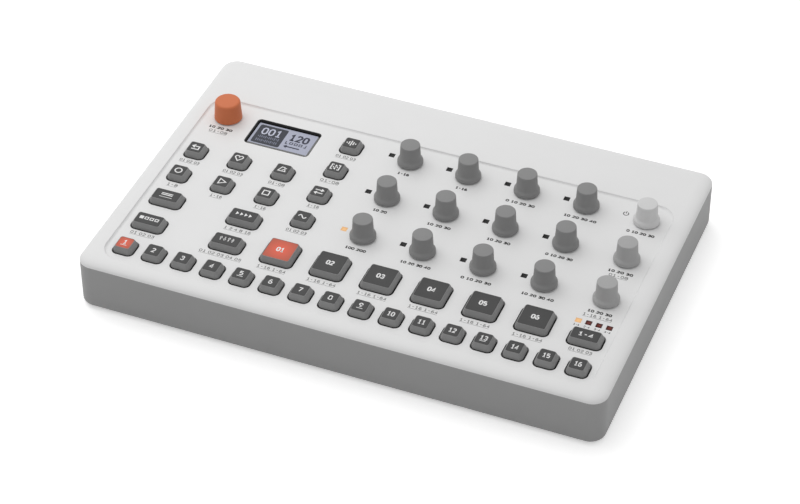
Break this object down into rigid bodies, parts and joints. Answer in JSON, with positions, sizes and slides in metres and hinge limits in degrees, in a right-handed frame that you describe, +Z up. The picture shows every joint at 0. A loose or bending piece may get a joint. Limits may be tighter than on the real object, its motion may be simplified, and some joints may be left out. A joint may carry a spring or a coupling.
{
  "type": "groovebox",
  "caption": "Flat tabletop groovebox with a white control panel on a grey case, square keys and pads, turning knobs, a small display and rear sockets.",
  "frame": {"origin": "middle of the footprint on the surface that the rubber feet stand on", "axes": "+X to the player's right along the long side, +Y to the back, +Z up"},
  "size_m": [0.27, 0.18, 0.0401],
  "materials": {
    "cover_white": "fine matte texture",
    "case_grey": "fine matte texture",
    "board": "solder mask",
    "display": "glossy glass over a dot display",
    "indicator": "smoked lens",
    "socket": "moulded",
    "foot_rubber": "matte rubber",
    "key_grey": "soft matte",
    "knob_dark": "soft matte",
    "knob_mid": "soft matte",
    "knob_light": "soft matte",
    "knob_orange": "soft matte"
  },
  "bodies": {
    "case": {"top_cover": "cover_white", "bottom_case": "case_grey", "circuit_board": "board", "display_module": "display", "indicator_lights": "indicator", "rear_sockets": "socket", "feet_and_screws": "foot_rubber"},
    "step_key_01": {"step_key_01": "key_grey"},
    "step_key_02": {"step_key_02": "key_grey"},
    "step_key_03": {"step_key_03": "key_grey"},
    "step_key_04": {"step_key_04": "key_grey"},
    "step_key_05": {"step_key_05": "key_grey"},
    "step_key_06": {"step_key_06": "key_grey"},
    "step_key_07": {"step_key_07": "key_grey"},
    "step_key_08": {"step_key_08": "key_grey"},
    "step_key_09": {"step_key_09": "key_grey"},
    "step_key_10": {"step_key_10": "key_grey"},
    "step_key_11": {"step_key_11": "key_grey"},
    "step_key_12": {"step_key_12": "key_grey"},
    "step_key_13": {"step_key_13": "key_grey"},
    "step_key_14": {"step_key_14": "key_grey"},
    "step_key_15": {"step_key_15": "key_grey"},
    "step_key_16": {"step_key_16": "key_grey"},
    "pad_1": {"pad_1": "key_grey"},
    "pad_2": {"pad_2": "key_grey"},
    "pad_3": {"pad_3": "key_grey"},
    "pad_4": {"pad_4": "key_grey"},
    "pad_5": {"pad_5": "key_grey"},
    "pad_6": {"pad_6": "key_grey"},
    "return_key": {"return_key": "key_grey"},
    "save_key": {"save_key": "key_grey"},
    "metronome_key": {"metronome_key": "key_grey"},
    "record_key": {"record_key": "key_grey"},
    "play_key": {"play_key": "key_grey"},
    "stop_key": {"stop_key": "key_grey"},
    "pulse_key": {"pulse_key": "key_grey"},
    "loop_key": {"loop_key": "key_grey"},
    "swap_key": {"swap_key": "key_grey"},
    "wave_key": {"wave_key": "key_grey"},
    "function_key": {"function_key": "key_grey"},
    "repeat_key": {"repeat_key": "key_grey"},
    "pattern_key": {"pattern_key": "key_grey"},
    "track_key": {"track_key": "key_grey"},
    "page_key": {"page_key": "key_grey"},
    "parameter_knob_11": {"parameter_knob_11": "knob_dark"},
    "parameter_knob_12": {"parameter_knob_12": "knob_dark"},
    "parameter_knob_13": {"parameter_knob_13": "knob_dark"},
    "parameter_knob_14": {"parameter_knob_14": "knob_dark"},
    "parameter_knob_21": {"parameter_knob_21": "knob_dark"},
    "parameter_knob_22": {"parameter_knob_22": "knob_dark"},
    "parameter_knob_23": {"parameter_knob_23": "knob_dark"},
    "parameter_knob_24": {"parameter_knob_24": "knob_dark"},
    "parameter_knob_31": {"parameter_knob_31": "knob_dark"},
    "parameter_knob_32": {"parameter_knob_32": "knob_dark"},
    "parameter_knob_33": {"parameter_knob_33": "knob_dark"},
    "parameter_knob_34": {"parameter_knob_34": "knob_dark"},
    "volume_knob": {"volume_knob": "knob_light"},
    "effect_knob_1": {"effect_knob_1": "knob_mid"},
    "effect_knob_2": {"effect_knob_2": "knob_mid"},
    "data_knob": {"data_knob": "knob_orange"}
  },
  "joints": [
    {"name": "step_key_01_press", "type": "slide", "parent": "case", "child": "step_key_01", "axis": [0, 0, -1], "range_m": [0, 0.001], "stiffness_N_per_m": 1200},
    {"name": "step_key_02_press", "type": "slide", "parent": "case", "child": "step_key_02", "axis": [0, 0, -1], "range_m": [0, 0.001], "stiffness_N_per_m": 1200},
    {"name": "step_key_03_press", "type": "slide", "parent": "case", "child": "step_key_03", "axis": [0, 0, -1], "range_m": [0, 0.001], "stiffness_N_per_m": 1200},
    {"name": "step_key_04_press", "type": "slide", "parent": "case", "child": "step_key_04", "axis": [0, 0, -1], "range_m": [0, 0.001], "stiffness_N_per_m": 1200},
    {"name": "step_key_05_press", "type": "slide", "parent": "case", "child": "step_key_05", "axis": [0, 0, -1], "range_m": [0, 0.001], "stiffness_N_per_m": 1200},
    {"name": "step_key_06_press", "type": "slide", "parent": "case", "child": "step_key_06", "axis": [0, 0, -1], "range_m": [0, 0.001], "stiffness_N_per_m": 1200},
    {"name": "step_key_07_press", "type": "slide", "parent": "case", "child": "step_key_07", "axis": [0, 0, -1], "range_m": [0, 0.001], "stiffness_N_per_m": 1200},
    {"name": "step_key_08_press", "type": "slide", "parent": "case", "child": "step_key_08", "axis": [0, 0, -1], "range_m": [0, 0.001], "stiffness_N_per_m": 1200},
    {"name": "step_key_09_press", "type": "slide", "parent": "case", "child": "step_key_09", "axis": [0, 0, -1], "range_m": [0, 0.001], "stiffness_N_per_m": 1200},
    {"name": "step_key_10_press", "type": "slide", "parent": "case", "child": "step_key_10", "axis": [0, 0, -1], "range_m": [0, 0.001], "stiffness_N_per_m": 1200},
    {"name": "step_key_11_press", "type": "slide", "parent": "case", "child": "step_key_11", "axis": [0, 0, -1], "range_m": [0, 0.001], "stiffness_N_per_m": 1200},
    {"name": "step_key_12_press", "type": "slide", "parent": "case", "child": "step_key_12", "axis": [0, 0, -1], "range_m": [0, 0.001], "stiffness_N_per_m": 1200},
    {"name": "step_key_13_press", "type": "slide", "parent": "case", "child": "step_key_13", "axis": [0, 0, -1], "range_m": [0, 0.001], "stiffness_N_per_m": 1200},
    {"name": "step_key_14_press", "type": "slide", "parent": "case", "child": "step_key_14", "axis": [0, 0, -1], "range_m": [0, 0.001], "stiffness_N_per_m": 1200},
    {"name": "step_key_15_press", "type": "slide", "parent": "case", "child": "step_key_15", "axis": [0, 0, -1], "range_m": [0, 0.001], "stiffness_N_per_m": 1200},
    {"name": "step_key_16_press", "type": "slide", "parent": "case", "child": "step_key_16", "axis": [0, 0, -1], "range_m": [0, 0.001], "stiffness_N_per_m": 1200},
    {"name": "pad_1_press", "type": "slide", "parent": "case", "child": "pad_1", "axis": [0, 0, -1], "range_m": [0, 0.001], "stiffness_N_per_m": 1200},
    {"name": "pad_2_press", "type": "slide", "parent": "case", "child": "pad_2", "axis": [0, 0, -1], "range_m": [0, 0.001], "stiffness_N_per_m": 1200},
    {"name": "pad_3_press", "type": "slide", "parent": "case", "child": "pad_3", "axis": [0, 0, -1], "range_m": [0, 0.001], "stiffness_N_per_m": 1200},
    {"name": "pad_4_press", "type": "slide", "parent": "case", "child": "pad_4", "axis": [0, 0, -1], "range_m": [0, 0.001], "stiffness_N_per_m": 1200},
    {"name": "pad_5_press", "type": "slide", "parent": "case", "child": "pad_5", "axis": [0, 0, -1], "range_m": [0, 0.001], "stiffness_N_per_m": 1200},
    {"name": "pad_6_press", "type": "slide", "parent": "case", "child": "pad_6", "axis": [0, 0, -1], "range_m": [0, 0.001], "stiffness_N_per_m": 1200},
    {"name": "return_key_press", "type": "slide", "parent": "case", "child": "return_key", "axis": [0, 0, -1], "range_m": [0, 0.001], "stiffness_N_per_m": 1200},
    {"name": "save_key_press", "type": "slide", "parent": "case", "child": "save_key", "axis": [0, 0, -1], "range_m": [0, 0.001], "stiffness_N_per_m": 1200},
    {"name": "metronome_key_press", "type": "slide", "parent": "case", "child": "metronome_key", "axis": [0, 0, -1], "range_m": [0, 0.001], "stiffness_N_per_m": 1200},
    {"name": "record_key_press", "type": "slide", "parent": "case", "child": "record_key", "axis": [0, 0, -1], "range_m": [0, 0.001], "stiffness_N_per_m": 1200},
    {"name": "play_key_press", "type": "slide", "parent": "case", "child": "play_key", "axis": [0, 0, -1], "range_m": [0, 0.001], "stiffness_N_per_m": 1200},
    {"name": "stop_key_press", "type": "slide", "parent": "case", "child": "stop_key", "axis": [0, 0, -1], "range_m": [0, 0.001], "stiffness_N_per_m": 1200},
    {"name": "pulse_key_press", "type": "slide", "parent": "case", "child": "pulse_key", "axis": [0, 0, -1], "range_m": [0, 0.001], "stiffness_N_per_m": 1200},
    {"name": "loop_key_press", "type": "slide", "parent": "case", "child": "loop_key", "axis": [0, 0, -1], "range_m": [0, 0.001], "stiffness_N_per_m": 1200},
    {"name": "swap_key_press", "type": "slide", "parent": "case", "child": "swap_key", "axis": [0, 0, -1], "range_m": [0, 0.001], "stiffness_N_per_m": 1200},
    {"name": "wave_key_press", "type": "slide", "parent": "case", "child": "wave_key", "axis": [0, 0, -1], "range_m": [0, 0.001], "stiffness_N_per_m": 1200},
    {"name": "function_key_press", "type": "slide", "parent": "case", "child": "function_key", "axis": [0, 0, -1], "range_m": [0, 0.001], "stiffness_N_per_m": 1200},
    {"name": "repeat_key_press", "type": "slide", "parent": "case", "child": "repeat_key", "axis": [0, 0, -1], "range_m": [0, 0.001], "stiffness_N_per_m": 1200},
    {"name": "pattern_key_press", "type": "slide", "parent": "case", "child": "pattern_key", "axis": [0, 0, -1], "range_m": [0, 0.001], "stiffness_N_per_m": 1200},
    {"name": "track_key_press", "type": "slide", "parent": "case", "child": "track_key", "axis": [0, 0, -1], "range_m": [0, 0.001], "stiffness_N_per_m": 1200},
    {"name": "page_key_press", "type": "slide", "parent": "case", "child": "page_key", "axis": [0, 0, -1], "range_m": [0, 0.001], "stiffness_N_per_m": 1200},
    {"name": "parameter_knob_11_turn", "type": "hinge", "parent": "case", "child": "parameter_knob_11", "pos_m": [-0.01174, 0.0415, 0.0283], "axis": [0, 0, 1], "continuous": true},
    {"name": "parameter_knob_12_turn", "type": "hinge", "parent": "case", "child": "parameter_knob_12", "pos_m": [0.01956, 0.0415, 0.0283], "axis": [0, 0, 1], "continuous": true},
    {"name": "parameter_knob_13_turn", "type": "hinge", "parent": "case", "child": "parameter_knob_13", "pos_m": [0.05085, 0.0415, 0.0283], "axis": [0, 0, 1], "continuous": true},
    {"name": "parameter_knob_14_turn", "type": "hinge", "parent": "case", "child": "parameter_knob_14", "pos_m": [0.08215, 0.0415, 0.0283], "axis": [0, 0, 1], "continuous": true},
    {"name": "parameter_knob_21_turn", "type": "hinge", "parent": "case", "child": "parameter_knob_21", "pos_m": [-0.01174, 0.01009, 0.0283], "axis": [0, 0, 1], "continuous": true},
    {"name": "parameter_knob_22_turn", "type": "hinge", "parent": "case", "child": "parameter_knob_22", "pos_m": [0.01956, 0.01009, 0.0283], "axis": [0, 0, 1], "continuous": true},
    {"name": "parameter_knob_23_turn", "type": "hinge", "parent": "case", "child": "parameter_knob_23", "pos_m": [0.05085, 0.01009, 0.0283], "axis": [0, 0, 1], "continuous": true},
    {"name": "parameter_knob_24_turn", "type": "hinge", "parent": "case", "child": "parameter_knob_24", "pos_m": [0.08215, 0.01009, 0.0283], "axis": [0, 0, 1], "continuous": true},
    {"name": "parameter_knob_31_turn", "type": "hinge", "parent": "case", "child": "parameter_knob_31", "pos_m": [-0.01174, -0.02133, 0.0283], "axis": [0, 0, 1], "continuous": true},
    {"name": "parameter_knob_32_turn", "type": "hinge", "parent": "case", "child": "parameter_knob_32", "pos_m": [0.01956, -0.02133, 0.0283], "axis": [0, 0, 1], "continuous": true},
    {"name": "parameter_knob_33_turn", "type": "hinge", "parent": "case", "child": "parameter_knob_33", "pos_m": [0.05085, -0.02133, 0.0283], "axis": [0, 0, 1], "continuous": true},
    {"name": "parameter_knob_34_turn", "type": "hinge", "parent": "case", "child": "parameter_knob_34", "pos_m": [0.08215, -0.02133, 0.0283], "axis": [0, 0, 1], "continuous": true},
    {"name": "volume_knob_turn", "type": "hinge", "parent": "case", "child": "volume_knob", "pos_m": [0.11345, 0.0415, 0.0283], "axis": [0, 0, 1], "range_deg": [-150, 150]},
    {"name": "effect_knob_1_turn", "type": "hinge", "parent": "case", "child": "effect_knob_1", "pos_m": [0.11345, 0.01009, 0.0283], "axis": [0, 0, 1], "continuous": true},
    {"name": "effect_knob_2_turn", "type": "hinge", "parent": "case", "child": "effect_knob_2", "pos_m": [0.11345, -0.02133, 0.0283], "axis": [0, 0, 1], "continuous": true},
    {"name": "data_knob_turn", "type": "hinge", "parent": "case", "child": "data_knob", "pos_m": [-0.11295, 0.0415, 0.0283], "axis": [0, 0, 1], "continuous": true}
  ]
}
